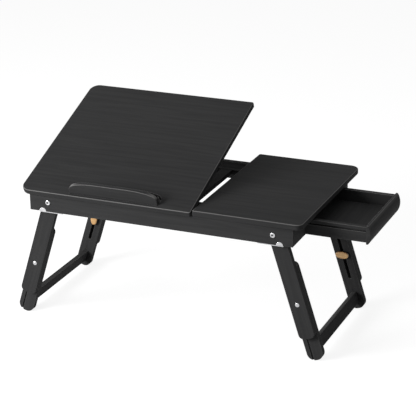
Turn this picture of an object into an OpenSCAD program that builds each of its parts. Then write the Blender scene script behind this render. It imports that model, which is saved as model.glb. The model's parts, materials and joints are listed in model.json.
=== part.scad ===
// Folding laptop stand on four height-adjustable legs: a tilting panel with
// a fold-down stop ledge on the left, a fixed top over a drawer on the right.
// Millimetres. Pieces are worked out with X = 0 at the tops' left edge, Y = 0
// at their front edge and Z = 0 on their upper face. place() then puts the
// origin on the ground under the middle of the stand.

/* [Tops] */
// Width of the tilting panel
panel_w = 366.8; // [362:0.4:400]
// Gap between the panel and the fixed top
top_gap = 2; // [1:0.5:4]
// Width of the fixed top
fixed_w = 220; // [214:2:260]
// Thickness of both tops
top_t = 11.5; // [11:0.5:14]
// Radius of the other outer corners, from above
corner_r = 20; // [8:1:40]
// Radius of the fixed top's outer corner at the front, from above
fixed_corner_r = 13; // [8:1:40]
// Radius of the corners at the gap, from above
gap_corner_r = 4; // [4:0.5:10]
// Radius along the edges
edge_r = 2.4; // [1:0.2:3.8]

/* [Frame] */
// Height of the rails and boards under the tops
rail_h = 36; // [32:1:42]
// Thickness of the front and rear rail
rail_t = 12.5; // [11:0.5:14]
// Front rail, behind the tops' front edge
front_inset = 5; // [4:0.5:8]
// Rear face of the rear rail, behind the bay
rear_depth = 58.2; // [54:0.1:62]
// Rear rail, in from the tops' rear edge
rear_inset = 26.5; // [18:0.5:40]
// Frame, in from the tops' left and right ends
end_inset = 18; // [10:1:24]
// Thickness of the end boards
end_t = 16; // [10:1:18]
// Inner face of the front bearer, behind the tops' front edge
bay_y = 77.2; // [74:0.4:82]
// Width of the bay between the bearers
bay_w = 192.6; // [180:0.4:220]
// Thickness of the bearers
bearer_t = 9.5; // [7:0.5:10]
// Thickness of the divider beside the drawer bay
divider_t = 12; // [8:1:16]
// Divider, in from the fixed top's left edge
divider_inset = -2; // [-2:0.5:6]

/* [Tilting panel] */
// Angle that the panel is raised to
tilt = 20.3; // [8:0.1:27]
// Hinge axis, behind the tops' front edge
hinge_y = 9; // [6.5:0.25:10]
// Radius of the hinge knuckles
knuckle_r = 1.9; // [1.6:0.1:2.4]
// Radius of the hinge pins
hinge_pin_r = 0.8; // [0.6:0.1:1]
// Length of one hinge
hinge_len = 40; // [30:2:46]
// Hinges, in from the panel's ends
hinge_in = 50; // [44:2:56]
// Width of the laths that the closed panel rests on
lath_w = 24; // [16:1:26]
// Laths, in from the panel's ends
left_lath_in = 60; // [40:1:66]
// Right lath, in from the panel's right end
right_lath_in = 25.5; // [20:0.5:36]

/* [Stop ledge] */
// Length of the ledge
ledge_len = 189; // [120:1:200]
// Middle of the ledge, right of the panel's middle
ledge_off = 19; // [0:0.5:24]
// Height in the middle, above the panel
ledge_peak = 28; // [18:0.5:36]
// Height at the ends, above the panel
ledge_end = 9; // [5:0.5:14]
// Thickness of the ledge
ledge_t = 8; // [6:0.5:8.5]
// Front face of the ledge, behind the panel's front edge
ledge_y = 7.5; // [6:0.5:12]
// Radius of the ledge's end pins
ledge_pin_r = 1.2; // [0.8:0.1:1.5]

/* [Prop] */
// Prop pivot, behind the hinge axis along the panel
prop_s = 160; // [150:2:164]
// Length of the prop, pivot to rod
prop_len = 94; // [90:1:96]
// Thickness of the prop arms
prop_t = 7; // [6:0.5:7.5]
// Width of one prop arm
prop_arm_w = 14; // [10:1:18]
// Distance between the prop arms
prop_span = 64; // [50:2:80]
// Radius of the prop rod
rod_r = 2.2; // [1.6:0.1:2.4]
// Radius of the prop pivot pins
prop_pin_r = 1.8; // [1.2:0.1:2]
// Width of one toothed rack
rack_w = 10; // [6:1:12]
// Distance from one rack notch to the next
rack_pitch = 11; // [9:1:14]

/* [Drawer] */
// Length of the drawer box behind its front board
drawer_len = 178; // [140:1:178]
// Distance that the drawer stands open
drawer_open = 125; // [0:0.2:140]
// Thickness of the drawer sides and back
drawer_side_t = 10; // [9:0.5:12]
// Height of the drawer sides
drawer_side_h = 30.8; // [28:0.4:36]
// Thickness of the drawer bottom
drawer_bottom_t = 4; // [3:0.5:6]
// Thickness of the front board at its edges
drawer_front_t = 4; // [4:0.5:9]
// Bulge of the front board's face
drawer_bulge = 5.5; // [1:0.5:6]
// Height of the front board
drawer_front_h = 38; // [34:0.5:40]
// Radius along the front board's edges
drawer_edge_r = 2.5; // [1:0.5:3]
// Height of the drawer runners
runner_h = 3; // [2:0.5:5]
// Depth of the drawer runners
runner_d = 4.8; // [3:0.2:5.5]
// Centre of the runners, below the tops' upper face
runner_drop = 25.3; // [22:0.1:30]

/* [Legs] */
// Lean of the legs from upright
splay = 17.5; // [10:0.5:20]
// Width of the leg boards
leg_w = 33; // [30:1:34]
// Thickness of the leg boards
board_t = 11.8; // [10:0.1:12]
// Pivot to the lower end of the upper board
upper_len = 218.8; // [214:0.4:226]
// Pivot to the foot, as the height is set
reach = 268.2; // [256:0.1:292]
// Length of the lower board
lower_len = 200.5; // [196:0.1:206]
// Corner radius at the upper board's lower end
upper_corner_r = 10; // [3:0.5:12]
// Corner radius at the lower board's upper end
lower_corner_r = 10; // [3:0.5:12]
// Radius of the foot's corners
foot_r = 14.8; // [10:0.2:15]
// Pivot to the height bolt
bolt_s = 148.2; // [146:0.1:150]
// Lower end of the slot, above the foot's end
slot_up = 65.8; // [64:0.2:68]
// Length of the slot
slot_len = 90.9; // [86:0.1:92]
// Radius of the pivot and height bolts
bolt_r = 3; // [2.5:0.1:3.2]
// Guide groove, off the leg's centre line
groove_off = 6.5; // [6:0.1:8]
// Width of the guide groove
groove_w = 3.6; // [3:0.1:4]
// Depth of the guide groove
groove_depth = 2.5; // [1.5:0.1:3]
// Width of the crossbar
bar_w = 24.5; // [20:0.5:26]
// Thickness of the crossbar
bar_t = 10; // [8:0.5:11]
// Lower edge of the crossbar, above the foot's end
bar_up = 12.8; // [12:0.1:16]
// Radius of the crossbar dowels
dowel_r = 2.5; // [2:0.1:3]

/* [Knobs and locks] */
// Length of the oval knobs
knob_len = 28; // [22:1:29]
// Width of the oval knobs
knob_w = 15; // [13:0.5:16]
// Thickness of the knobs
knob_t = 6; // [4:0.5:6]
// Turn of the front knobs, from across the leg
front_knob_turn = 90; // [0:5:180]
// Turn of the left rear knob
left_knob_turn = 80; // [0:5:180]
// Turn of the right rear knob
right_knob_turn = 17; // [0:1:180]
// Radius of the lock lug
lug_r = 7.4; // [6:0.1:8]
// Lock lug, outward from the leg pivot
lug_dx = 13; // [12:0.1:14]
// Radius of the lock pin
lock_pin_r = 1.8; // [1.2:0.1:2]
// Length of the lock strip, inward from the lug
strip_len = 44; // [30:1:60]
// Thickness of the lock strip
strip_t = 1.5; // [1:0.1:2]

/* [Hidden] */
$fn = 64;

paint = [0.2, 0.2, 0.2];
steel = [0.75, 0.75, 0.76];
knob_wood = [0.8, 0.65, 0.41];

run_gap = 0.3;       // between boards that slide or turn on each other
bore_gap = 0.1;      // radial clearance of a bolt or pin in its bore
head_gap = 0.3;      // folded legs, below the tops
stop_gap = 0.5;      // splayed legs, from the end boards
past = 1;            // how far a cut runs past a face

// Frame
total_w = panel_w + top_gap + fixed_w;
rail_len = total_w - 2 * end_inset;
rail_low = -top_t - rail_h;
bay_back = bay_y + bay_w;
frame_back = bay_back + rear_depth;
top_d = frame_back + rear_inset;
left_in = end_inset + end_t;
right_in = total_w - end_inset - end_t;
divider_x = panel_w + top_gap + divider_inset;
bay_x = divider_x + divider_t;
bearer_roof = 10;    // what the crossbar notch leaves of the bearers
notch_gap = 8;       // crossbar notch, beyond the folded crossbars

// Legs
leg_gap = 2;         // rail to upper board
upper_y = front_inset + rail_t + leg_gap;
lower_y = upper_y + board_t + run_gap;
inner_y = lower_y + board_t;
pivot_drop = top_t + head_gap + leg_w / 2;
pivot_in = end_inset + end_t + stop_gap + leg_w / 2 / cos(splay)
    + (top_t + rail_h - pivot_drop) * tan(splay);
foot_flat = leg_w / 2 - foot_r;
top_z = pivot_drop + (reach - foot_r) * cos(splay) + foot_r
    + foot_flat * sin(splay);
slot_gap = 0.3;      // bolt to slot, each side
strip_gap = 0.2;     // guide strip to groove, each side
guide_s = 75;        // pivot to the guide strip
guide_len = 110;
head_h = 1.6;        // height bolt head
head_r = 4.5;
pivot_head_r = 5.4;
pivot_head_h = 2.2;
socket_r = 2.3;      // hexagonal socket of the pivot bolts
socket_depth = 1.9;
nut_r = 5.8;
nut_h = 4;
washer_r = 6.5;
washer_h = 1;
knob_y = inner_y + 2 * run_gap + washer_h;
knob_cap = 1.6;      // wood left over the bolt's end
collapse = 45;       // travel of the lower legs from the height shown, up
extend = 30;         // and down

// Locks
lug_low = rail_low - 0.5;
lug_pin_up = 3.7;    // lock pin above the lug's flat
lug_y = front_inset + 1;
lug_d = 7;
lug_notch_gap = 1.2;
pin_end_gap = 0.4;
ring_depth = 2.4;    // groove for the lock pin in the upper board
ring_gap = 0.5;
strip_d = 10;
ring_r = norm([lug_dx, lug_low + lug_pin_up + pivot_drop]);

// Panel, ledge and prop
leaf_t = 1.2;
leaf_back = 0.5;     // wood left behind the frame leaves
leaf_frame_d = rail_t - (hinge_y - front_inset) - leaf_back;
leaf_panel_d = 16;
knuckle_gap = 0.25;
over_tilt = 6;       // how far the panel lifts past its raised place
bevel_gap = 0.3;     // relief of the rail in front of the hinge axis
bevel_z = (hinge_y - front_inset) * tan(tilt + over_tilt) + bevel_gap;
bevel_back = 1;
lath_h = 8.7;
ledge_gap = 0.4;
ledge_x = (panel_w - ledge_len) / 2 + ledge_off;
ledge_axis_y = ledge_y + ledge_t / 2;
ledge_pin_in = 6;
ledge_steps = 48;
prop_d = 4.5;        // prop pivot below the panel
prop_x = 114;
prop_angle = tilt + asin((prop_s * sin(tilt) + prop_d * (1 - cos(tilt)))
    / prop_len);
cheek_t = 5;
cheek_len = 14;
cheek_h = 8.2;
rod_over = 16;       // rod beyond the arms
cross_at = 58;
cross_w = 16;
rack_gap = 1.9;      // rack tips below the rod's path
rack_h = 13;
rack_notch = 3;
rack_count = 7;

// Drawer
drawer_gap = 0.8;    // drawer to bearers and end pieces
drawer_under = 5.5;  // drawer sides, below the fixed top
drawer_top = top_t + drawer_under;
drawer_y = bay_y + drawer_gap;
drawer_w = bay_w - 2 * drawer_gap;
groove_gap = 0.2;
front_over = 3.2;    // front board's top above the sides' top
front_seat = 6.5;    // front board's inner face, in from the frame's end
front_x = total_w - end_inset - front_seat;
front_out_x = front_x + drawer_front_t + drawer_bulge;
back_drop = 0.8;     // rear wall, inside the sides' edges
bottom_up = 3;

// Whole stand
hinge_z = -top_t;
min_x = pivot_in - (reach - foot_r) * sin(splay) - foot_flat * cos(splay)
    - foot_r;
max_x = max(front_out_x + drawer_open, total_w - min_x);
min_y = hinge_y + min((edge_r - hinge_y) * cos(tilt)
    - (top_t - edge_r) * sin(tilt) - edge_r,
    (ledge_y - hinge_y) * cos(tilt) - (top_t + ledge_peak) * sin(tilt));
mid = [(min_x + max_x) / 2, (min_y + top_d) / 2];

module place() translate([-mid[0], -mid[1], top_z]) children();

function pivot_x(side) = side == "left" ? pivot_in : total_w - pivot_in;
function lean(side) = side == "left" ? 1 : -1;

// The rear legs, locks and rail mirror the front ones
module row(r) {
    if (r == "rear") translate([0, front_inset + frame_back, 0])
        mirror([0, 1, 0]) children();
    else children();
}

// Leg frame: pivot at the origin, down the leg is -Z, across it is X
module leg(side, r) place() row(r)
    translate([pivot_x(side), 0, -pivot_drop])
        rotate([0, lean(side) * splay, 0]) children();

// An outline in X and Z, thick from y to y + t
module upright(y, t) translate([0, y + t, 0]) rotate([90, 0, 0])
    linear_extrude(t) children();

// A round bar along Y
module bar_y(r, y, len) translate([0, y, 0]) rotate([-90, 0, 0])
    cylinder(r = r, h = len);

// A round bar along X
module bar_x(r, x, len) translate([x, 0, 0]) rotate([0, 90, 0])
    cylinder(r = r, h = len);

// The panel as it is raised, from its closed place
module tilted() translate([0, hinge_y, hinge_z]) rotate([tilt, 0, 0])
    translate([0, -hinge_y, -hinge_z]) children();

module in_prop() tilted() translate([0, hinge_y + prop_s, -top_t - prop_d])
    rotate([-prop_angle, 0, 0]) children();

// A top with rounded edges; left and right give the corner radius at the
// front and at the rear
round_steps = 6;
module top_board(x, w, left, right) hull()
    for (end = [[x, 1, left], [x + w, -1, right]], rear = [0, 1],
            i = [0:round_steps])
        let (r = end[2][rear])
            translate([end[0] + end[1] * r, rear == 0 ? r : top_d - r,
                -top_t / 2])
                cylinder(r = r - edge_r * (1 - cos(90 * i / round_steps)),
                    h = top_t - 2 * edge_r
                        * (1 - sin(90 * i / round_steps)),
                    center = true, $fn = 48);

module fixed_top() color(paint) place()
    top_board(panel_w + top_gap, fixed_w, [gap_corner_r, gap_corner_r],
        [fixed_corner_r, corner_r]);

// ---- Frame ----

module rail_bar() difference() {
    translate([end_inset, front_inset, rail_low])
        cube([rail_len, rail_t, rail_h]);
    for (side = ["left", "right"]) {
        translate([pivot_x(side) - lean(side) * lug_dx, 0, lug_low])
            bar_y(lug_r + lug_notch_gap, front_inset - past,
                rail_t + 2 * past);
        translate([pivot_x(side), 0, -pivot_drop])
            bar_y(bolt_r, front_inset - past, rail_t + 2 * past);
    }
}

// Where the left end of each hinge is
hinge_xs = [hinge_in, panel_w - hinge_in - hinge_len];

module front_rail() color(paint) place() difference() {
    rail_bar();
    // relief for the panel's edge, in front of the hinge axis
    translate([end_inset - past, 0, -top_t]) rotate([90, 0, 90])
        linear_extrude(panel_w - end_inset + past)
            polygon([[front_inset - past, past], [hinge_y + bevel_back, past],
                [hinge_y + bevel_back, 0], [front_inset, -bevel_z],
                [front_inset - past, -bevel_z]]);
    for (x = hinge_xs) translate([x, hinge_y, -top_t]) {
        bar_x(knuckle_r + knuckle_gap, 0, hinge_len);
        translate([0, 0, -leaf_t]) cube([hinge_len, leaf_frame_d, leaf_t]);
    }
}

module rear_rail() color(paint) place() row("rear") rail_bar();

module end_piece(x, y0, y1) color(paint) place()
    translate([x, y0, rail_low]) cube([end_t, y1 - y0, rail_h]);

module bearer(y) color(paint) place() difference() {
    translate([left_in, y, rail_low])
        cube([right_in - left_in, bearer_t, rail_h]);
    notch_a = pivot_in + reach - collapse - bar_up - bar_w - notch_gap;
    notch_b = min(divider_x - notch_gap, total_w - notch_a);
    translate([notch_a, y - past, rail_low - past])
        cube([notch_b - notch_a, bearer_t + 2 * past,
            rail_h - bearer_roof + past]);
}

module bay_divider() color(paint) place()
    translate([divider_x, bay_y, rail_low]) cube([divider_t, bay_w, rail_h]);

module rest_laths() color(paint) place()
    for (x = [left_lath_in, panel_w - right_lath_in - lath_w])
        translate([x, bay_y, -top_t - run_gap - lath_h])
            cube([lath_w, bay_w, lath_h]);

module drawer_runners() color(paint) place()
    for (y = [bay_y, bay_back - runner_d])
        translate([bay_x, y, -runner_drop - runner_h / 2])
            cube([right_in - bay_x, runner_d, runner_h]);

// Toothed racks under the prop rod, outside the prop arms
prop_end_x = prop_x + 2 * prop_arm_w + prop_span;
rack_top = -top_t - prop_d - rod_r - rack_gap;
rack_xs = [prop_x - rod_over, prop_end_x + rod_over - rack_w];
rack_y = hinge_y + prop_s * cos(tilt) + prop_d * sin(tilt)
    + prop_len * cos(prop_angle - tilt);

module prop_racks() color(paint) place() difference() {
    for (x = rack_xs) translate([x, bay_y, rack_top - rack_h])
        cube([rack_w, bay_w, rack_h]);
    for (x = rack_xs, i = [0:rack_count - 1])
        translate([x - past, rack_y + (i - 4) * rack_pitch, rack_top])
            rotate([45, 0, 0]) translate([0, -rack_notch / sqrt(2),
                -rack_notch / sqrt(2)])
                cube([rack_w + 2 * past, rack_notch * sqrt(2),
                    rack_notch * sqrt(2)]);
}

// ---- Hinges ----

// Knuckles: the middle third is the panel's, the outer thirds the frame's
module knuckles(mine) difference() {
    for (i = mine) bar_x(knuckle_r, i * hinge_len / 3 + run_gap / 2,
        hinge_len / 3 - run_gap);
    bar_x(hinge_pin_r + bore_gap, -past, hinge_len + 2 * past);
}

module leaf(z, d, others) difference() {
    translate([run_gap / 2, 0, z]) cube([hinge_len - run_gap, d, leaf_t]);
    for (i = others) bar_x(knuckle_r + knuckle_gap,
        i * hinge_len / 3 - run_gap / 2, hinge_len / 3 + run_gap);
    bar_x(hinge_pin_r + bore_gap, -past, hinge_len + 2 * past);
}

module hinge_frame_leaves() color(steel) place() for (x = hinge_xs)
    translate([x, hinge_y, hinge_z]) {
        knuckles([0, 2]);
        leaf(-leaf_t, leaf_frame_d, [1]);
    }

module hinge_panel_leaves() color(steel) place() tilted()
    for (x = hinge_xs) translate([x, hinge_y, hinge_z]) {
        knuckles([1]);
        leaf(0, leaf_panel_d, [0, 2]);
    }

module hinge_pins() color(steel) place() for (x = hinge_xs)
    translate([x, hinge_y, hinge_z])
        bar_x(hinge_pin_r, run_gap / 2, hinge_len - run_gap);

// ---- Tilting panel, stop ledge, prop ----

// The ledge's outline over its length: a flat superellipse
function ledge_h(u, grow) = ledge_end + grow
    + (ledge_peak - ledge_end) * sqrt(1 - pow(abs(u), 4));
module ledge_outline(low, grow) let (half = ledge_len / 2 + grow)
    polygon(concat([[half, -low], [-half, -low]],
        [for (i = [0:ledge_steps])
            let (u = -cos(180 * i / ledge_steps))
                [u * half, ledge_h(u, grow)]]));

ledge_mid = ledge_x + ledge_len / 2;

module tilt_panel() color(paint) place() tilted() difference() {
    top_board(0, panel_w, [corner_r, corner_r],
        [gap_corner_r, gap_corner_r]);
    // recess that the folded ledge lies in, flush with the face
    translate([ledge_mid, ledge_axis_y + ledge_t / 2, -ledge_t - ledge_gap])
        linear_extrude(ledge_t + ledge_gap + past)
            ledge_outline(ledge_t + ledge_gap, ledge_gap);
    // the ledge's pins turn in these holes
    for (x = [ledge_x - ledge_pin_in, ledge_x + ledge_len])
        translate([x, ledge_axis_y, -ledge_t / 2])
            bar_x(ledge_pin_r + bore_gap, -run_gap,
                ledge_pin_in + 2 * run_gap);
    for (x = hinge_xs) translate([x, hinge_y, hinge_z]) {
        bar_x(knuckle_r + knuckle_gap, 0, hinge_len);
        cube([hinge_len, leaf_panel_d, leaf_t]);
    }
}

// Standing ledge: the base is round about the pin axis
module stop_ledge() color(paint) place() tilted() difference() {
    translate([ledge_mid, 0, 0]) union() {
        upright(ledge_y, ledge_t) ledge_outline(ledge_t / 2, 0);
        translate([0, ledge_axis_y, -ledge_t / 2])
            bar_x(ledge_t / 2, -ledge_len / 2, ledge_len);
    }
    for (x = [ledge_x, ledge_x + ledge_len - ledge_pin_in])
        translate([x, ledge_axis_y, -ledge_t / 2])
            bar_x(ledge_pin_r, -past, ledge_pin_in + 2 * past);
}

// Tight in the ledge, loose in the panel
module ledge_pins() color(steel) place() tilted()
    for (x = [ledge_x - ledge_pin_in, ledge_x + ledge_len - ledge_pin_in])
        translate([x, ledge_axis_y, -ledge_t / 2])
            bar_x(ledge_pin_r, 0, 2 * ledge_pin_in);

module prop_brackets() color(steel) place() tilted()
    for (x = [prop_x, prop_x + prop_arm_w + prop_span])
        translate([x, hinge_y + prop_s, -top_t]) {
            for (c = [-cheek_t - run_gap, prop_arm_w + run_gap])
                translate([c, -cheek_len / 2, -cheek_h])
                    cube([cheek_t, cheek_len, cheek_h]);
            translate([0, 0, -prop_d]) bar_x(prop_pin_r,
                -cheek_t - run_gap, prop_arm_w + 2 * (cheek_t + run_gap));
        }

module prop_arms() color(paint) place() in_prop() difference() {
    for (x = [prop_x, prop_x + prop_arm_w + prop_span]) {
        translate([x, 0, -prop_t / 2]) cube([prop_arm_w, prop_len, prop_t]);
        for (y = [0, prop_len]) translate([0, y, 0])
            bar_x(prop_t / 2, x, prop_arm_w);
    }
    bar_x(prop_pin_r + bore_gap, prop_x - past,
        prop_end_x - prop_x + 2 * past);
    translate([0, prop_len, 0]) bar_x(rod_r, prop_x - past,
        prop_end_x - prop_x + 2 * past);
}

module prop_crosspiece() color(paint) place() in_prop()
    translate([prop_x + prop_arm_w, cross_at, -prop_t / 2])
        cube([prop_span, cross_w, prop_t]);

module prop_rod() color(steel) place() in_prop()
    translate([0, prop_len, 0]) bar_x(rod_r, prop_x - rod_over,
        prop_end_x - prop_x + 2 * rod_over);

// ---- Drawer ----

module in_drawer() place() translate([drawer_open, 0, 0]) children();

// Profile with a bulged face, from its inner face: an arc through both
// edges, rounded where it meets them
module front_outline() {
    wide = drawer_front_t + drawer_bulge;
    half = drawer_front_h / 2;
    bulge_r = (pow(half, 2) + pow(drawer_bulge, 2)) / (2 * drawer_bulge);
    rim_x = wide - bulge_r + sqrt(pow(bulge_r - drawer_edge_r, 2)
        - pow(half - drawer_edge_r, 2));
    rim = drawer_edge_r * (1 - (half - drawer_edge_r)
        / (bulge_r - drawer_edge_r));
    intersection() {
        square([wide, drawer_front_h]);
        union() {
            square([rim_x, drawer_front_h]);
            for (y = [drawer_edge_r, drawer_front_h - drawer_edge_r])
                translate([rim_x, y]) circle(drawer_edge_r);
            intersection() {
                translate([0, rim]) square([wide, drawer_front_h - 2 * rim]);
                translate([wide - bulge_r, half]) circle(bulge_r, $fn = 180);
            }
        }
    }
}

module drawer_front() color(paint) in_drawer()
    translate([front_x, drawer_y + drawer_w,
        -drawer_top + front_over - drawer_front_h])
        rotate([90, 0, 0]) linear_extrude(drawer_w) front_outline();

drawer_low = -drawer_top - drawer_side_h;
drawer_back_x = front_x - drawer_len;

module drawer_side(y, groove_y) color(paint) in_drawer() difference() {
    translate([drawer_back_x, y, drawer_low])
        cube([drawer_len, drawer_side_t, drawer_side_h]);
    translate([drawer_back_x - past, groove_y,
        -runner_drop - runner_h / 2 - groove_gap])
        cube([drawer_len + 2 * past, runner_d + past,
            runner_h + 2 * groove_gap]);
}

module drawer_back() color(paint) in_drawer()
    translate([drawer_back_x, drawer_y + drawer_side_t,
        drawer_low + back_drop])
        cube([drawer_side_t, drawer_w - 2 * drawer_side_t,
            drawer_side_h - 2 * back_drop]);

module drawer_bottom() color(paint) in_drawer()
    translate([drawer_back_x + drawer_side_t, drawer_y + drawer_side_t,
        drawer_low + bottom_up])
        cube([drawer_len - drawer_side_t, drawer_w - 2 * drawer_side_t,
            drawer_bottom_t]);

// ---- Legs ----

// Leg board outline from s0 to s1 down the leg, corners r0 above, r1 below
module board_outline(s0, s1, r0, r1) {
    translate([-leg_w / 2, r1 - s1]) square([leg_w, s1 - s0 - r0 - r1]);
    for (x = [-1, 1]) {
        translate([x * (leg_w / 2 - r0), -s0 - r0]) circle(r0);
        translate([x * (leg_w / 2 - r1), r1 - s1]) circle(r1);
    }
    if (r0 < leg_w / 2) translate([r0 - leg_w / 2, -s0 - 2 * r0])
        square([leg_w - 2 * r0, 2 * r0]);
    translate([r1 - leg_w / 2, -s1]) square([leg_w - 2 * r1, 2 * r1]);
}

module upper_leg(side, r) color(paint) leg(side, r) difference() {
    upright(upper_y, board_t)
        board_outline(-leg_w / 2, upper_len, leg_w / 2, upper_corner_r);
    bar_y(bolt_r + bore_gap, upper_y - past, board_t + 2 * past);
    translate([0, 0, -bolt_s]) bar_y(bolt_r, upper_y - past,
        board_t + 2 * past);
    // part ring that the lock pin runs in as the leg folds
    difference() {
        bar_y(ring_r + lock_pin_r + ring_gap, upper_y - past,
            ring_depth + past);
        bar_y(ring_r - lock_pin_r - ring_gap, upper_y - 2 * past,
            ring_depth + 3 * past);
    }
}

module lower_leg(side, r) color(paint) leg(side, r) difference() {
    upright(lower_y, board_t)
        board_outline(reach - lower_len, reach, lower_corner_r, foot_r);
    slot_r = bolt_r + slot_gap;
    for (s = [reach - slot_up - slot_r, reach - slot_up - slot_len + slot_r])
        translate([0, 0, -s]) bar_y(slot_r, lower_y - past,
            board_t + 2 * past);
    translate([-slot_r, lower_y - past, slot_up + slot_r - reach])
        cube([2 * slot_r, board_t + 2 * past, slot_len - 2 * slot_r]);
    translate([-groove_off - groove_w / 2, lower_y - past, -reach - past])
        cube([groove_w, groove_depth + past, lower_len + 2 * past]);
    dowels(lower_y + board_t / 2);
}

module guide_strips(side) color(steel) for (r = ["front", "rear"])
    leg(side, r) translate([-groove_off - groove_w / 2 + strip_gap,
        upper_y + board_t, -guide_s - guide_len])
        cube([groove_w - 2 * strip_gap, groove_depth, guide_len]);

module height_bolts(side) color(steel) for (r = ["front", "rear"])
    leg(side, r) translate([0, 0, -bolt_s]) {
        bar_y(head_r, upper_y - head_h, head_h);
        bar_y(bolt_r, upper_y, knob_y + knob_t - knob_cap - run_gap
            - upper_y);
        bar_y(washer_r, inner_y + run_gap, washer_h);
    }

bar_mid_s = reach - bar_up - bar_w / 2;
dowel_in = 8;        // dowel depth on each side of the joint

// Two dowels at each end of the crossbar, from y inward
module dowels(y) for (d = [-bar_w / 4, bar_w / 4])
    translate([0, 0, d - bar_mid_s]) bar_y(dowel_r, y,
        inner_y + dowel_in - y);

module crossbar(side) color(paint) place() difference() {
    translate([pivot_x(side), 0, -pivot_drop])
        rotate([0, lean(side) * splay, 0])
            translate([-bar_t / 2, inner_y, -bar_mid_s - bar_w / 2])
                cube([bar_t, front_inset + frame_back - 2 * inner_y, bar_w]);
    for (r = ["front", "rear"]) row(r)
        translate([pivot_x(side), 0, -pivot_drop])
            rotate([0, lean(side) * splay, 0]) dowels(inner_y - past);
}

module crossbar_dowels(side) color(knob_wood)
    for (r = ["front", "rear"]) leg(side, r)
        dowels(lower_y + board_t / 2);

module leg_pivot_bolts() color(steel) place()
    for (r = ["front", "rear"], side = ["left", "right"]) row(r)
        translate([pivot_x(side), 0, -pivot_drop]) difference() {
            union() {
                bar_y(pivot_head_r, front_inset - pivot_head_h,
                    pivot_head_h);
                bar_y(bolt_r, front_inset,
                    upper_y + board_t + run_gap + nut_h - front_inset);
            }
            translate([0, front_inset - pivot_head_h - past, 0])
                rotate([-90, 0, 0]) cylinder(r = socket_r,
                    h = socket_depth + past, $fn = 6);
        }

module leg_pivot_nuts() color(steel) place()
    for (r = ["front", "rear"], side = ["left", "right"]) row(r)
        translate([pivot_x(side), upper_y + board_t + run_gap, -pivot_drop])
            rotate([-90, 0, 0]) difference() {
                cylinder(r = nut_r, h = nut_h, $fn = 6);
                translate([0, 0, -past])
                    cylinder(r = bolt_r, h = nut_h + 2 * past);
            }

// Oval wing knob with rounded rims, turned as it is left
module knob(side, r, turn) color(knob_wood) leg(side, r)
    translate([0, knob_y, -bolt_s])
        rotate([0, turn, 0]) rotate([-90, 0, 0]) difference() {
            end_r = knob_w / 3.4;
            rim = 1.2;
            hull() for (c = [[knob_len / 2 - end_r, end_r], [0, knob_w / 2],
                    [end_r - knob_len / 2, end_r]])
                translate([c[0], 0, 0]) {
                    translate([0, 0, rim / 2])
                        cylinder(r = c[1], h = knob_t - 1.5 * rim, $fn = 32);
                    cylinder(r = c[1] - rim, h = knob_t, $fn = 32);
                }
            translate([0, 0, -past]) cylinder(r = bolt_r + bore_gap,
                h = knob_t - knob_cap + past);
        }

// ---- Locks ----

module lock_place(side, r) place() row(r)
    translate([pivot_x(side) - lean(side) * lug_dx, 0, lug_low])
        scale([lean(side), 1, 1]) children();

module lock_strip(side, r) color(steel) lock_place(side, r) {
    translate([-lug_r, lug_y, -strip_t])
        cube([lug_r + strip_len, strip_d, strip_t]);
    translate([0, 0, lug_pin_up]) bar_y(lock_pin_r, lug_y + lug_d / 2,
        upper_y + ring_depth - pin_end_gap - lug_y - lug_d / 2);
}

module lock_lug(side, r) color(steel) lock_place(side, r) difference() {
    bar_y(lug_r, lug_y, lug_d);
    translate([-lug_r - past, lug_y - past, -lug_r - past])
        cube([2 * (lug_r + past), lug_d + 2 * past, lug_r + past]);
    translate([0, 0, lug_pin_up]) bar_y(lock_pin_r, lug_y + lug_d / 2, lug_d);
}

front_rail();
rear_rail();
end_piece(end_inset, front_inset + rail_t, frame_back - rail_t);  // left_end_board
end_piece(right_in, front_inset + rail_t, bay_y);  // right_end_front
end_piece(right_in, bay_back, frame_back - rail_t);  // right_end_rear
bearer(bay_y - bearer_t);  // front_bearer
bearer(bay_back);  // rear_bearer
bay_divider();
rest_laths();
prop_racks();
drawer_runners();
fixed_top();
hinge_frame_leaves();
leg_pivot_bolts();
leg_pivot_nuts();
tilt_panel();
hinge_panel_leaves();
hinge_pins();
prop_brackets();
stop_ledge();
ledge_pins();
prop_arms();
prop_crosspiece();
prop_rod();
drawer_front();
drawer_side(drawer_y, drawer_y - past + groove_gap * 2);  // drawer_side_front
drawer_side(drawer_y + drawer_w - drawer_side_t,  // drawer_side_rear
        drawer_y + drawer_w - runner_d - groove_gap * 2);
drawer_back();
drawer_bottom();
upper_leg("left", "front");  // left_front_upper_leg
upper_leg("left", "rear");  // left_rear_upper_leg
guide_strips("left");  // left_guide_strips
height_bolts("left");  // left_height_bolts
lower_leg("left", "front");  // left_front_lower_leg
lower_leg("left", "rear");  // left_rear_lower_leg
crossbar("left");  // left_crossbar
crossbar_dowels("left");  // left_crossbar_dowels
upper_leg("right", "front");  // right_front_upper_leg
upper_leg("right", "rear");  // right_rear_upper_leg
guide_strips("right");  // right_guide_strips
height_bolts("right");  // right_height_bolts
lower_leg("right", "front");  // right_front_lower_leg
lower_leg("right", "rear");  // right_rear_lower_leg
crossbar("right");  // right_crossbar
crossbar_dowels("right");  // right_crossbar_dowels
knob("left", "front", front_knob_turn);  // left_front_knob
knob("left", "rear", left_knob_turn);  // left_rear_knob
knob("right", "front", -front_knob_turn);  // right_front_knob
knob("right", "rear", right_knob_turn);  // right_rear_knob
lock_strip("left", "front");  // left_front_lock_strip
lock_strip("left", "rear");  // left_rear_lock_strip
lock_strip("right", "front");  // right_front_lock_strip
lock_strip("right", "rear");  // right_rear_lock_strip
lock_lug("left", "front");  // left_front_lock_lug
lock_lug("left", "rear");  // left_rear_lock_lug
lock_lug("right", "front");  // right_front_lock_lug
lock_lug("right", "rear");  // right_rear_lock_lug
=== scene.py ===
"""Looks of the folding laptop stand: satin black boards with softened edges,
varnished oval knobs and plated hardware, on a pale floor."""

import json
import math

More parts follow.
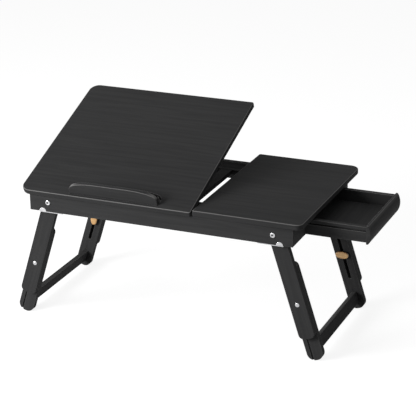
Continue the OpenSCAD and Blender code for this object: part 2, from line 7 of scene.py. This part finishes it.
import bmesh
import bpy
import numpy as np
from mathutils import Matrix, Vector


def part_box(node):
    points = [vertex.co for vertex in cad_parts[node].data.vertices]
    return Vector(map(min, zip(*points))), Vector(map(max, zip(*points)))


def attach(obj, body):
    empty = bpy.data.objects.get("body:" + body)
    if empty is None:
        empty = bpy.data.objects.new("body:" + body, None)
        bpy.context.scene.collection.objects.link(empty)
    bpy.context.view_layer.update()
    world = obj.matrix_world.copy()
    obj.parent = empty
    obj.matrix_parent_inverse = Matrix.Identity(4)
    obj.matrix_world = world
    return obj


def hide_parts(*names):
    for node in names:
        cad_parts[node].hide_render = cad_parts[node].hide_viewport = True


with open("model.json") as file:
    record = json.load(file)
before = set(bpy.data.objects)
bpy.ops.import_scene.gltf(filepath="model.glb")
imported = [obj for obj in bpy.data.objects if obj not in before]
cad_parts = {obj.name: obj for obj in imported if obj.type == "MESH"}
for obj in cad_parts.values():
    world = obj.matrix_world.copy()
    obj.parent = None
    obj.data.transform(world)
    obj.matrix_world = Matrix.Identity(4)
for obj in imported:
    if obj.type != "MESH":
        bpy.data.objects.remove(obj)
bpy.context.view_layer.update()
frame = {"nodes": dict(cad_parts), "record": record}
nodes = frame["nodes"]
MM = 0.001

# The stand's own measures, in metres and degrees
SPLAY = 17.5
KNOB_LENGTH, KNOB_WIDTH, KNOB_THICK = 0.028, 0.015, 0.006
KNOB_RIM, KNOB_POWER = 0.0018, 2.3
TILT = 20.3
PIVOT_HEAD_R, PIVOT_HEAD_H = 0.0054, 0.0022
HEIGHT_HEAD_R, HEIGHT_HEAD_H = 0.0045, 0.0016
SOCKET_R, SOCKET_DEPTH = 0.0023, 0.0019
BOLT_R = 0.003
WASHER_R, WASHER_H = 0.0065, 0.001

SIDES = {"left": 1, "right": -1}
ROWS = ("front", "rear")


# ---------------------------------------------------------------- shading


def shader_group(name, inputs, outputs):
    """An empty node group with named sockets, as (tree, input, output)."""
    tree = bpy.data.node_groups.new(name, "ShaderNodeTree")
    for label, kind, value in inputs:
        socket = tree.interface.new_socket(label, in_out="INPUT",
                                           socket_type=kind)
        if value is not None:
            socket.default_value = value
    for label, kind in outputs:
        tree.interface.new_socket(label, in_out="OUTPUT", socket_type=kind)
    return (tree, tree.nodes.new("NodeGroupInput"),
            tree.nodes.new("NodeGroupOutput"))


def add_node(tree, kind, **settings):
    """A node with its settings; a setting named after a socket fills it."""
    node = tree.nodes.new(kind)
    for key, value in settings.items():
        if hasattr(node, key):
            setattr(node, key, value)
        else:
            node.inputs[key.replace("_", " ")].default_value = value
    return node


def ramp(tree, source, low, high, dark, light):
    """Maps the source's low..high onto dark..light, held at both ends."""
    node = add_node(tree, "ShaderNodeMapRange")
    node.inputs["From Min"].default_value = low
    node.inputs["From Max"].default_value = high
    node.inputs["To Min"].default_value = dark
    node.inputs["To Max"].default_value = light
    tree.links.new(source, node.inputs["Value"])
    return node.outputs["Result"]


def mixed(tree, mask, colour_a, colour_b):
    """Colour A where the mask is 0 and colour B where it is 1."""
    node = add_node(tree, "ShaderNodeMix", data_type="RGBA")
    tree.links.new(mask, node.inputs["Factor"])
    for socket, colour in ((node.inputs[6], colour_a),
                           (node.inputs[7], colour_b)):
        if isinstance(colour, bpy.types.NodeSocket):
            tree.links.new(colour, socket)
        else:
            socket.default_value = (*colour, 1.0)
    return node.outputs[2]


def math_node(tree, kind, a, b):
    """One arithmetic step on two values or sockets."""
    node = add_node(tree, "ShaderNodeMath", operation=kind)
    for socket, value in zip(node.inputs, (a, b)):
        if isinstance(value, bpy.types.NodeSocket):
            tree.links.new(value, socket)
        else:
            socket.default_value = value
    return node.outputs[0]


def make_grain_group():
    """Wood grain: long streaks, fine pores and slow clouds in tone.

    The incoming vector is already stretched along the board, so plain noise
    on it comes out as streaks.
    """
    tree, into, out = shader_group(
        "board_grain",
        [("Vector", "NodeSocketVector", None),
         ("Scale", "NodeSocketFloat", 1.0)],
        [("Height", "NodeSocketFloat"), ("Tone", "NodeSocketFloat"),
         ("Cloud", "NodeSocketFloat")])
    scaled = add_node(tree, "ShaderNodeVectorMath", operation="SCALE")
    tree.links.new(into.outputs["Vector"], scaled.inputs[0])
    tree.links.new(into.outputs["Scale"], scaled.inputs["Scale"])
    layers = {}
    for label, scale, detail, distortion in (
            ("streak", 160.0, 4.0, 0.6), ("pore", 900.0, 2.0, 0.0),
            ("cloud", 9.0, 2.0, 0.0)):
        noise = add_node(tree, "ShaderNodeTexNoise", Scale=scale,
                         Detail=detail, Distortion=distortion)
        tree.links.new(scaled.outputs[0], noise.inputs["Vector"])
        layers[label] = noise.outputs["Fac"]
    pores = ramp(tree, layers["pore"], 0.3, 0.45, 0.0, 1.0)
    streaks = ramp(tree, layers["streak"], 0.35, 0.65, 0.0, 1.0)
    height = math_node(tree, "MULTIPLY", pores,
                       math_node(tree, "ADD", streaks, 1.0))
    tree.links.new(height, out.inputs["Height"])
    tree.links.new(streaks, out.inputs["Tone"])
    tree.links.new(ramp(tree, layers["cloud"], 0.35, 0.65, 0.0, 1.0),
                   out.inputs["Cloud"])
    return tree


def make_edge_group():
    """Mask of the arrises that carry painted light.

    It is 1 where the normal of a rounded-over copy leaves the true normal,
    or where the normal leans between the board's face and its upright edge,
    and it fades out on arrises that look down, away from the light from above.
    On the boards it places a painted highlight, on the knob painted shade.
    """
    tree, into, out = shader_group(
        "arris_light_mask",
        [("Radius", "NodeSocketFloat", 0.0015),
         ("Up", "NodeSocketVector", (0.0, 0.0, 1.0))],
        [("Mask", "NodeSocketFloat")])
    bevel = add_node(tree, "ShaderNodeBevel", samples=4)
    tree.links.new(into.outputs["Radius"], bevel.inputs["Radius"])
    geometry = add_node(tree, "ShaderNodeNewGeometry")
    dot = add_node(tree, "ShaderNodeVectorMath", operation="DOT_PRODUCT")
    tree.links.new(bevel.outputs["Normal"], dot.inputs[0])
    tree.links.new(geometry.outputs["Normal"], dot.inputs[1])
    sharp = ramp(tree, dot.outputs["Value"], 0.8, 0.995, 1.0, 0.0)
    coords = add_node(tree, "ShaderNodeTexCoord")
    rise = add_node(tree, "ShaderNodeVectorMath", operation="DOT_PRODUCT")
    tree.links.new(coords.outputs["Normal"], rise.inputs[0])
    tree.links.new(into.outputs["Up"], rise.inputs[1])
    onto = ramp(tree, rise.outputs["Value"], 0.35, 0.7, 0.0, 1.0)
    off = ramp(tree, rise.outputs["Value"], 0.88, 0.98, 1.0, 0.0)
    lean = math_node(tree, "MULTIPLY", onto, off)
    upward = ramp(tree, rise.outputs["Value"], -0.3, 0.5, 0.1, 1.0)
    mask = math_node(tree, "MULTIPLY",
                     math_node(tree, "MAXIMUM", sharp, lean), upward)
    tree.links.new(mask, out.inputs["Mask"])
    return tree


GRAIN = make_grain_group()
EDGE = make_edge_group()


def surface(name, roughness, metallic=0.0, specular=0.5, coat=0.0,
            coat_roughness=0.2):
    """A material with one Principled shader, as (material, tree, shader)."""
    material = bpy.data.materials.new(name)
    material.use_nodes = True
    tree = material.node_tree
    shader = tree.nodes["Principled BSDF"]
    shader.inputs["Roughness"].default_value = roughness
    shader.inputs["Metallic"].default_value = metallic
    shader.inputs["Specular IOR Level"].default_value = specular
    shader.inputs["Coat Weight"].default_value = coat
    shader.inputs["Coat Roughness"].default_value = coat_roughness
    return material, tree, shader


def grain_at(tree, stretch, turn, scale=1.0):
    """The grain group on Object coordinates, stretched along the board."""
    coords = add_node(tree, "ShaderNodeTexCoord")
    mapping = add_node(tree, "ShaderNodeMapping", vector_type="TEXTURE")
    mapping.inputs["Rotation"].default_value = (0, math.radians(turn), 0)
    mapping.inputs["Scale"].default_value = stretch
    tree.links.new(coords.outputs["Object"], mapping.inputs["Vector"])
    group = add_node(tree, "ShaderNodeGroup", node_tree=GRAIN)
    group.inputs["Scale"].default_value = scale
    tree.links.new(mapping.outputs["Vector"], group.inputs["Vector"])
    return group


def bumped(tree, shader, height, strength, distance):
    """Feeds a height through a Bump node into the shader's normal."""
    bump = add_node(tree, "ShaderNodeBump", Strength=strength,
                    Distance=distance)
    tree.links.new(height, bump.inputs["Height"])
    tree.links.new(bump.outputs["Normal"], shader.inputs["Normal"])


BLACK_DEEP = (0.024, 0.024, 0.0245)
BLACK_PALE = (0.033, 0.033, 0.0333)
# pale grey painted on the upper arrises of the boards as a painted highlight
BLACK_HIGHLIGHT = (0.16, 0.158, 0.156)
# darker black for the boards under the tops, as painted shade
BLACK_INSIDE = (0.006, 0.006, 0.0062)
BLACK_INSIDE_PALE = (0.011, 0.011, 0.0112)
HIGHLIGHT_RADIUS = 0.0018  # how far in from an arris the painted highlight reaches
HIGHLIGHT_SHARE = 0.75
WOOD_PALE = (0.54, 0.33, 0.13)
WOOD_LINE = (0.34, 0.17, 0.05)
# darker browns for the knob's rim and its side wall, both painted shade
WOOD_RIM = (0.2, 0.07, 0.015)
WOOD_WALL = (0.05, 0.02, 0.008)
PLATE_PALE = (0.58, 0.58, 0.59)
PLATE_DULL = (0.45, 0.45, 0.46)
# near black painted into the hollows of the steel as painted shade
RECESS_SHADE = (0.03, 0.03, 0.03)


def black_board(name, stretch, turn=0.0, up=(0.0, 0.0, 1.0)):
    """Satin black paint with the board's grain faintly showing through."""
    material, tree, shader = surface(name, 0.68, specular=0.016)
    grain = grain_at(tree, stretch, turn)
    streak = math_node(tree, "MULTIPLY", grain.outputs["Tone"], 0.6)
    cloud = math_node(tree, "MULTIPLY", grain.outputs["Cloud"], 0.4)
    paint = mixed(tree, math_node(tree, "ADD", streak, cloud),
                  BLACK_DEEP, BLACK_PALE)
    # painted highlight: the upper arrises get a pale grey colour and a
    # smoother finish
    edge = add_node(tree, "ShaderNodeGroup", node_tree=EDGE)
    edge.inputs["Radius"].default_value = HIGHLIGHT_RADIUS
    edge.inputs["Up"].default_value = up
    arris_highlight = math_node(tree, "MULTIPLY", edge.outputs["Mask"], HIGHLIGHT_SHARE)
    tree.links.new(mixed(tree, arris_highlight, paint, BLACK_HIGHLIGHT),
                   shader.inputs["Base Color"])
    tree.links.new(ramp(tree, arris_highlight, 0.0, 1.0, 0.6, 0.34),
                   shader.inputs["Roughness"])
    bumped(tree, shader, grain.outputs["Height"], 0.22, 0.0001)
    return material


def black_inside():
    """Black paint made darker as painted shade, on the boards that lie hidden
    under the tops.
    """
    material, tree, shader = surface("black_inside", 0.75, specular=0.05)
    grain = grain_at(tree, (LONG, 1.0, 1.0), 0.0)
    tree.links.new(mixed(tree, grain.outputs["Tone"], BLACK_INSIDE,
                         BLACK_INSIDE_PALE),
                   shader.inputs["Base Color"])
    bumped(tree, shader, grain.outputs["Height"], 0.3, 0.0001)
    return material


def knob_wood():
    """Varnished wood with brown growth lines along the knob.

    The wall between the two faces is dark brown, by a mask of the normal,
    as painted shade, and the rounded rim is darkened as painted shade too.
    """
    material, tree, shader = surface("knob_wood", 0.38, coat=0.35,
                                     coat_roughness=0.18)
    grain = grain_at(tree, (12.0, 1.0, 1.0), 0.0, scale=2.2)
    body = mixed(tree, grain.outputs["Tone"], WOOD_PALE, WOOD_LINE)
    # painted shade: the rim is drawn darker brown along the arris mask
    edge = add_node(tree, "ShaderNodeGroup", node_tree=EDGE)
    edge.inputs["Radius"].default_value = 0.0012
    rim_shade = math_node(tree, "MULTIPLY", edge.outputs["Mask"], 0.6)
    rimmed = mixed(tree, rim_shade, body, WOOD_RIM)
    coords = add_node(tree, "ShaderNodeTexCoord")
    parts = add_node(tree, "ShaderNodeSeparateXYZ")
    tree.links.new(coords.outputs["Normal"], parts.inputs[0])
    facing = math_node(tree, "ABSOLUTE", parts.outputs["Y"], 0.0)
    wall = ramp(tree, facing, 0.25, 0.65, 1.0, 0.0)
    tree.links.new(mixed(tree, wall, rimmed, WOOD_WALL),
                   shader.inputs["Base Color"])
    tree.links.new(ramp(tree, grain.outputs["Cloud"], 0.0, 1.0, 0.3, 0.42),
                   shader.inputs["Roughness"])
    bumped(tree, shader, grain.outputs["Height"], 0.15, 0.00008)
    return material


def plated_steel():
    """Zinc plating: fine scratches, slow stains, and painted shade that
    darkens the recesses.
    """
    material, tree, shader = surface("plated_steel", 0.24, metallic=1.0)
    grain = grain_at(tree, (1.0, 4.0, 1.0), 0.0, scale=3.0)
    plate = mixed(tree, grain.outputs["Cloud"], PLATE_PALE, PLATE_DULL)
    # painted shade: hollows found by ambient occlusion are painted near black
    hollow = add_node(tree, "ShaderNodeAmbientOcclusion", samples=8,
                      Distance=0.0034)
    recess_shade = ramp(tree, hollow.outputs["AO"], 0.5, 0.9, 1.0, 0.0)
    tree.links.new(mixed(tree, recess_shade, plate, RECESS_SHADE),
                   shader.inputs["Base Color"])
    tree.links.new(ramp(tree, grain.outputs["Tone"], 0.0, 1.0, 0.2, 0.34),
                   shader.inputs["Roughness"])
    bumped(tree, shader, grain.outputs["Height"], 0.08, 0.00003)
    return material


LONG = 22.0          # how far the grain is drawn out along a board
PANEL_UP = (0.0, -math.sin(math.radians(TILT)), math.cos(math.radians(TILT)))
BLACK_X = black_board("black_board_x", (LONG, 1.0, 1.0))
BLACK_PANEL = black_board("black_panel", (LONG, 1.0, 1.0), up=PANEL_UP)
BLACK_INNER = black_inside()
BLACK_Y = black_board("black_board_y", (1.0, LONG, 1.0))
BLACK_LEG = {side: black_board(f"black_leg_{side}", (1.0, 1.0, LONG),
                               way * SPLAY)
             for side, way in SIDES.items()}
KNOB_WOOD = knob_wood()
STEEL = plated_steel()


def dress(piece, material):
    """Gives the whole piece one material."""
    piece.data.materials.clear()
    piece.data.materials.append(material)


# ------------------------------------------------------------- mesh tools


def finish_piece(piece, body, cad_nodes, material):
    """Rides, replaces and dresses a new piece."""
    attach(piece, body)
    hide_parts(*cad_nodes)
    dress(piece, material)


def body_of_node(name):
    """The body that the record gives a node."""
    for body, members in frame["record"]["behaviour"]["bodies"].items():
        if name in members:
            return body


def new_piece(name, points, faces):
    """A smooth mesh object at the origin from points and faces."""
    mesh = bpy.data.meshes.new(name)
    mesh.from_pydata([tuple(p) for p in points], [], faces)
    mesh.validate()
    mesh.shade_smooth()
    piece = bpy.data.objects.new(name, mesh)
    bpy.context.scene.collection.objects.link(piece)
    return piece


def chain_spans(sharp):
    """For each sharp edge, how far its connected chain reaches."""
    wanted = {e.index for e in sharp}
    spans = {}
    for start in sharp:
        if start.index in spans:
            continue
        chain, queue = {start.index: start}, [start]
        while queue:
            edge = queue.pop()
            for vert in edge.verts:
                for other in vert.link_edges:
                    if other.index in wanted and other.index not in chain:
                        chain[other.index] = other
                        queue.append(other)
        corners = np.array([v.co for e in chain.values() for v in e.verts])
        span = float(np.linalg.norm(corners.max(0) - corners.min(0)))
        spans.update(dict.fromkeys(chain, span))
    return spans


def softened(name, width, material, steps=3,
             sharp_deg=40.0, least_loop=0.016):
    """Stands for a board with its long edges rounded over.

    The board's own mesh is copied and merged, flat triangles are joined, and
    every convex edge sharper than sharp_deg is rounded with the given width,
    except round the small bores.
    """
    source = nodes[name]
    shape = bmesh.new()
    shape.from_mesh(source.data)
    bmesh.ops.remove_doubles(shape, verts=shape.verts, dist=2e-6)
    bmesh.ops.dissolve_limit(shape, angle_limit=math.radians(0.3),
                             verts=shape.verts, edges=shape.edges)
    shape.edges.index_update()
    sharp = [e for e in shape.edges if len(e.link_faces) == 2
             and e.is_convex
             and math.degrees(e.calc_face_angle(0.0)) > sharp_deg]
    spans = chain_spans(sharp)
    chosen = [e for e in sharp if spans[e.index] > least_loop]
    if chosen:
        bmesh.ops.bevel(shape, geom=chosen, offset=width, segments=steps,
                        profile=0.5, affect="EDGES", clamp_overlap=True)
    bmesh.ops.triangulate(shape, faces=[f for f in shape.faces
                                        if len(f.verts) > 4])
    mesh = bpy.data.meshes.new(name + "_soft")
    shape.to_mesh(mesh)
    shape.free()
    mesh.shade_smooth()
    mesh.set_sharp_from_angle(angle=math.radians(34))
    piece = bpy.data.objects.new(name + "_soft", mesh)
    bpy.context.scene.collection.objects.link(piece)
    weighted = piece.modifiers.new("flat_faces", "WEIGHTED_NORMAL")
    weighted.keep_sharp = True
    finish_piece(piece, body_of_node(name), [name], material)
    return piece


def turned_rings(rings, sides=48):
    """Surface of revolution about Y, as (points, faces).

    Each ring is (radius, depth along +Y, hex share); point k lies at the
    angle 2 pi k / sides, and the hex share draws the radius in to a
    hexagon's flats. First and last ring close in a fan.
    """
    rings = np.array(rings)
    angle = np.arange(sides) * 2 * np.pi / sides
    flat = (np.cos(np.pi / 6)
            / np.cos((angle % (np.pi / 3)) - np.pi / 6))
    radius = rings[:, :1] * (1 - rings[:, 2:] + rings[:, 2:] * flat)
    points = np.stack([radius * np.cos(angle),
                       np.repeat(rings[:, 1:2], sides, axis=1),
                       radius * np.sin(angle)], axis=-1).reshape(-1, 3)
    count = len(rings)
    index = np.arange(count * sides).reshape(count, sides)
    after = np.roll(index, -1, axis=1)
    quads = np.stack([index[:-1], index[1:], after[1:], after[:-1]],
                     axis=-1).reshape(-1, 4)
    ends = np.array([[0, rings[0, 1], 0], [0, rings[-1, 1], 0]])
    points = np.concatenate([points, ends])
    first, last = count * sides, count * sides + 1
    faces = quads.tolist()
    faces += [[first, a, b] for a, b in zip(index[0], after[0])]
    faces += [[last, b, a] for a, b in zip(index[-1], after[-1])]
    return points, faces


def dome(radius, height, inner, steps=7):
    """Rings of a domed head from the inner radius out to its rim."""
    t = np.linspace(0, 1, steps)
    r = inner + (radius - inner) * np.sin(t * np.pi / 2)
    y = -height * np.cos(t * np.pi / 2 * 0.999) ** 0.8
    return [(a, b, 0.0) for a, b in zip(r, y)]


def merged(parts):
    """Joins (points, faces) pairs into one pair."""
    points, faces, offset = [], [], 0
    for part_points, part_faces in parts:
        points.append(part_points)
        faces += [[int(i) + offset for i in face] for face in part_faces]
        offset += len(part_points)
    return np.concatenate(points), faces


def outward(piece):
    """Turns all faces of a closed piece outwards."""
    shape = bmesh.new()
    shape.from_mesh(piece.data)
    bmesh.ops.recalc_face_normals(shape, faces=shape.faces)
    shape.to_mesh(piece.data)
    shape.free()
    piece.data.shade_smooth()
    piece.data.set_sharp_from_angle(angle=math.radians(38))


def mirrored_row(points, row, middle_y):
    """The rear row is the front one mirrored about the frame's middle."""
    out = points.copy()
    if row == "rear":
        out[:, 1] = 2 * middle_y - out[:, 1]
    return out


# --------------------------------------------------------------- geometry

rail_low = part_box("front_rail")[0]
rear_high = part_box("rear_rail")[1]
FRAME_MIDDLE_Y = (rail_low.y + rear_high.y) / 2


def pivot_of(side):
    """Where the leg's pivot bolt meets the front face of the front rail."""
    bolts_low, bolts_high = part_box("leg_pivot_bolts")
    x = (bolts_low.x + PIVOT_HEAD_R if side == "left"
         else bolts_high.x - PIVOT_HEAD_R)
    return Vector((x, rail_low.y, (bolts_low.z + bolts_high.z) / 2))


# ------------------------------------------------------------------ boards

SOFTENED = {
    BLACK_X: {"front_rail": 0.0008, "rear_rail": 0.0008, "fixed_top": 0.0005,
              "prop_crosspiece": 0.0008, "drawer_side_front": 0.0008,
              "drawer_side_rear": 0.0008},
    BLACK_PANEL: {"tilt_panel": 0.0004, "stop_ledge": 0.0014},
    BLACK_Y: {"left_end_board": 0.0006, "right_end_front": 0.0006,
              "right_end_rear": 0.0006, "drawer_back": 0.0006,
              "drawer_bottom": 0.0003, "drawer_front": 0.001,
              "prop_arms": 0.0008},
    BLACK_INNER: {"front_bearer": 0.0005, "rear_bearer": 0.0005,
                  "bay_divider": 0.0005, "rest_laths": 0.0006,
                  "prop_racks": 0.0004, "drawer_runners": 0.0003}}

for material, boards in SOFTENED.items():
    for name, width in boards.items():
        softened(name, width, material)
for side in SIDES:
    for row in ROWS:
        softened(f"{side}_{row}_upper_leg", 0.0013, BLACK_LEG[side])
        softened(f"{side}_{row}_lower_leg", 0.0011, BLACK_LEG[side])
        softened(f"{side}_{row}_lock_lug", 0.0008, STEEL,
                 least_loop=0.0)
    softened(f"{side}_crossbar", 0.0009, BLACK_Y)

# --------------------------------------------------------------- hardware


def pivot_bolts():
    """Four dome-headed bolts with a hexagon socket, one per leg pivot."""
    parts = []
    nut_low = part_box("leg_pivot_nuts")[0]
    length = nut_low.y - rail_low.y + 4 * MM
    rings = ([(1e-5, SOCKET_DEPTH - PIVOT_HEAD_H, 1.0),
              (SOCKET_R, SOCKET_DEPTH - PIVOT_HEAD_H, 1.0),
              (SOCKET_R, -PIVOT_HEAD_H + 0.0001, 1.0),
              (SOCKET_R * 1.12, -PIVOT_HEAD_H, 0.6)]
             + dome(PIVOT_HEAD_R, PIVOT_HEAD_H, SOCKET_R * 1.3)
             + [(PIVOT_HEAD_R, 0.0, 0.0), (BOLT_R, 0.0, 0.0),
                (BOLT_R, length - 0.0004, 0.0),
                (BOLT_R - 0.0004, length, 0.0)])
    points, faces = turned_rings(rings)
    for side in SIDES:
        placed = points + np.array(pivot_of(side))
        for row in ROWS:
            parts.append((mirrored_row(placed, row, FRAME_MIDDLE_Y), faces))
    piece = new_piece("pivot_bolts_turned", *merged(parts))
    outward(piece)
    finish_piece(piece, "frame", ["leg_pivot_bolts"], STEEL)


def height_bolts(side):
    """Two bolts, each with a low domed head, a shank and its washer."""
    low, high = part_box(f"{side}_height_bolts")
    head_y = low.y + HEIGHT_HEAD_H
    x, z = (low.x + high.x) / 2, (low.z + high.z) / 2
    washer_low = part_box(f"{side}_front_knob")[0].y - 0.0003 - WASHER_H
    tip = washer_low + WASHER_H + 0.0044
    rings = ([(1e-5, -HEIGHT_HEAD_H, 0.0)]
             + dome(HEIGHT_HEAD_R, HEIGHT_HEAD_H, 0.0008)
             + [(HEIGHT_HEAD_R, 0.0, 0.0), (BOLT_R, 0.0, 0.0),
                (BOLT_R, washer_low - head_y, 0.0),
                (WASHER_R, washer_low - head_y, 0.0),
                (WASHER_R, washer_low + WASHER_H - head_y, 0.0),
                (BOLT_R, washer_low + WASHER_H - head_y, 0.0),
                (BOLT_R, tip - head_y, 0.0)])
    points, faces = turned_rings(rings)
    placed = points + np.array((x, head_y, z))
    parts = [(mirrored_row(placed, row, FRAME_MIDDLE_Y), faces)
             for row in ROWS]
    piece = new_piece(f"{side}_height_bolts_turned", *merged(parts))
    outward(piece)
    finish_piece(piece, f"{side}_upper_legs", [f"{side}_height_bolts"],
                 STEEL)


def oval_knob(side, row):
    """Oval wing knob.

    In plan it is a superellipse x^n + z^n = 1, n = KNOB_POWER, between the
    long and the short half axis. Through its thickness each ring is drawn in
    by a quarter round of radius KNOB_RIM at both faces, which are flat.
    """
    source = nodes[f"{side}_{row}_knob"]
    corners = np.array([v.co for v in source.data.vertices])
    middle = (corners.max(0) + corners.min(0)) / 2
    flat = corners[:, [0, 2]] - middle[[0, 2]]
    # the long axis is the direction in which the node reaches furthest
    far = flat[np.argmax(np.hypot(flat[:, 0], flat[:, 1]))]
    turn = math.atan2(far[1], far[0])
    angle = np.linspace(0, 2 * np.pi, 72, endpoint=False)
    power = 2 / KNOB_POWER
    plan = np.stack([
        np.sign(np.cos(angle)) * np.abs(np.cos(angle)) ** power
        * KNOB_LENGTH / 2,
        np.sign(np.sin(angle)) * np.abs(np.sin(angle)) ** power
        * KNOB_WIDTH / 2], axis=-1)
    half = KNOB_THICK / 2
    levels = []
    for t in np.linspace(0, np.pi / 2, 6):
        levels.append((KNOB_RIM * (1 - math.sin(t)),
                       KNOB_RIM * (1 - math.cos(t)) - half))
    levels += [(d, -y) for d, y in reversed(levels)]
    rings = []
    for draw, y in levels:
        shrink = 1 - draw / np.array([KNOB_LENGTH / 2, KNOB_WIDTH / 2])
        ring = plan * shrink
        rings.append(np.stack([ring[:, 0], np.full(len(angle), y),
                               ring[:, 1]], axis=-1))
    for share in (0.7, 0.4, 0.1):
        for where, y in ((0, -half), (-1, half)):
            # rings inside the flat face, so that it has no long triangles
            ring = rings[where].copy()
            ring[:, [0, 2]] *= share
            ring[:, 1] = y
            if where:
                rings.append(ring)
            else:
                rings.insert(0, ring)
    points = np.concatenate(rings)
    c, s = math.cos(turn), math.sin(turn)
    x = points[:, 0] * c - points[:, 2] * s
    z = points[:, 0] * s + points[:, 2] * c
    points = np.stack([x, points[:, 1], z], axis=-1) + middle
    sides, count = len(angle), len(rings)
    index = np.arange(count * sides).reshape(count, sides)
    after = np.roll(index, -1, axis=1)
    faces = np.stack([index[:-1], index[1:], after[1:], after[:-1]],
                     axis=-1).reshape(-1, 4).tolist()
    faces += [index[0][::-1].tolist(), index[-1].tolist()]
    piece = new_piece(f"{side}_{row}_knob_oval", points, faces)
    outward(piece)
    finish_piece(piece, f"{side}_{row}_knob_body", [f"{side}_{row}_knob"],
                 KNOB_WOOD)


pivot_bolts()
for side in SIDES:
    height_bolts(side)
    for row in ROWS:
        oval_knob(side, row)

for name in ("hinge_frame_leaves", "hinge_panel_leaves", "hinge_pins",
             "leg_pivot_nuts", "prop_brackets", "ledge_pins", "prop_rod",
             "left_guide_strips", "right_guide_strips",
             "left_front_lock_strip", "left_rear_lock_strip",
             "right_front_lock_strip", "right_rear_lock_strip"):
    dress(nodes[name], STEEL)
for name in ("left_crossbar_dowels", "right_crossbar_dowels"):
    dress(nodes[name], KNOB_WOOD)

# ------------------------------------------------------------------ studio

AZIMUTH, ELEVATION, ROLL = 23.23, 20.89, -0.73
CAMERA_AT = (1.1959, -2.7953, 1.3839)
LENS = 140.61


def set_camera():
    """Camera at the photograph's place, turned by azimuth, height, roll."""
    data = bpy.data.cameras.new("camera")
    data.sensor_width = 36.0
    data.lens = LENS
    data.clip_end = 60.0
    camera = bpy.data.objects.new("camera", data)
    bpy.context.scene.collection.objects.link(camera)
    az, el, roll = map(math.radians, (AZIMUTH, ELEVATION, ROLL))
    back = Vector((math.sin(az) * math.cos(el),
                   -math.cos(az) * math.cos(el), math.sin(el)))
    right = Vector((math.cos(az), math.sin(az), 0))
    up = back.cross(right)
    across = right * math.cos(roll) + up * math.sin(roll)
    upward = up * math.cos(roll) - right * math.sin(roll)
    turn = Matrix((across, upward, back)).transposed().to_4x4()
    camera.matrix_world = Matrix.Translation(CAMERA_AT) @ turn
    bpy.context.scene.camera = camera


def seen_rays(tree):
    """1 for camera, glossy and transmission rays, otherwise 0."""
    path = add_node(tree, "ShaderNodeLightPath")
    seen = math_node(tree, "MAXIMUM", path.outputs["Is Camera Ray"],
                     path.outputs["Is Glossy Ray"])
    return math_node(tree, "MAXIMUM", seen,
                     path.outputs["Is Transmission Ray"])


WORLD_LIGHT = 0.25
FLOOR_GREY = 0.26
FLOOR_GLOW = 0.86


def set_world():
    """White where it is seen, a soft even light where it only lights."""
    world = bpy.data.worlds.new("studio")
    bpy.context.scene.world = world
    world.use_nodes = True
    tree = world.node_tree
    back = tree.nodes["Background"]
    back.inputs["Color"].default_value = (1, 1, 1, 1)
    strength = math_node(tree, "MAXIMUM", seen_rays(tree), WORLD_LIGHT)
    tree.links.new(strength, back.inputs["Strength"])


def set_floor():
    """Pale floor that shows white to the eye and keeps the shadow."""
    mesh = bpy.data.meshes.new("floor")
    half = 9.0
    mesh.from_pydata([(-half, -half, 0), (half, -half, 0), (half, half, 0),
                      (-half, half, 0)], [], [(0, 1, 2, 3)])
    floor = bpy.data.objects.new("floor", mesh)
    bpy.context.scene.collection.objects.link(floor)
    material = bpy.data.materials.new("floor_paper")
    material.use_nodes = True
    tree = material.node_tree
    tree.nodes.remove(tree.nodes["Principled BSDF"])
    paper = add_node(tree, "ShaderNodeBsdfDiffuse",
                     Color=(0.8, 0.8, 0.8, 1))
    shaded = add_node(tree, "ShaderNodeBsdfDiffuse",
                      Color=(FLOOR_GREY, FLOOR_GREY, FLOOR_GREY, 1))
    glow = add_node(tree, "ShaderNodeEmission", Strength=FLOOR_GLOW)
    both = add_node(tree, "ShaderNodeAddShader")
    tree.links.new(shaded.outputs[0], both.inputs[0])
    tree.links.new(glow.outputs[0], both.inputs[1])
    mix = add_node(tree, "ShaderNodeMixShader")
    tree.links.new(seen_rays(tree), mix.inputs[0])
    tree.links.new(paper.outputs[0], mix.inputs[1])
    tree.links.new(both.outputs[0], mix.inputs[2])
    tree.links.new(mix.outputs[0],
                   tree.nodes["Material Output"].inputs["Surface"])
    mesh.materials.append(material)


def set_lamp(name, place, target, size, power):
    """A square soft box aimed at the target."""
    data = bpy.data.lights.new(name, "AREA")
    data.shape = "SQUARE"
    data.size = size
    data.energy = power
    lamp = bpy.data.objects.new(name, data)
    lamp.location = place
    aim = Vector(target) - Vector(place)
    lamp.rotation_euler = aim.to_track_quat("-Z", "Y").to_euler()
    bpy.context.scene.collection.objects.link(lamp)


set_camera()
set_world()
set_floor()
set_lamp("soft_top", (-0.6, -0.2, 2.6), (0, 0, 0.2), 2.2, 16.0)
set_lamp("soft_front", (-1.45, -1.75, 1.0), (0, 0, 0.2), 1.1, 76.0)
bpy.context.scene.view_settings.view_transform = "Standard"
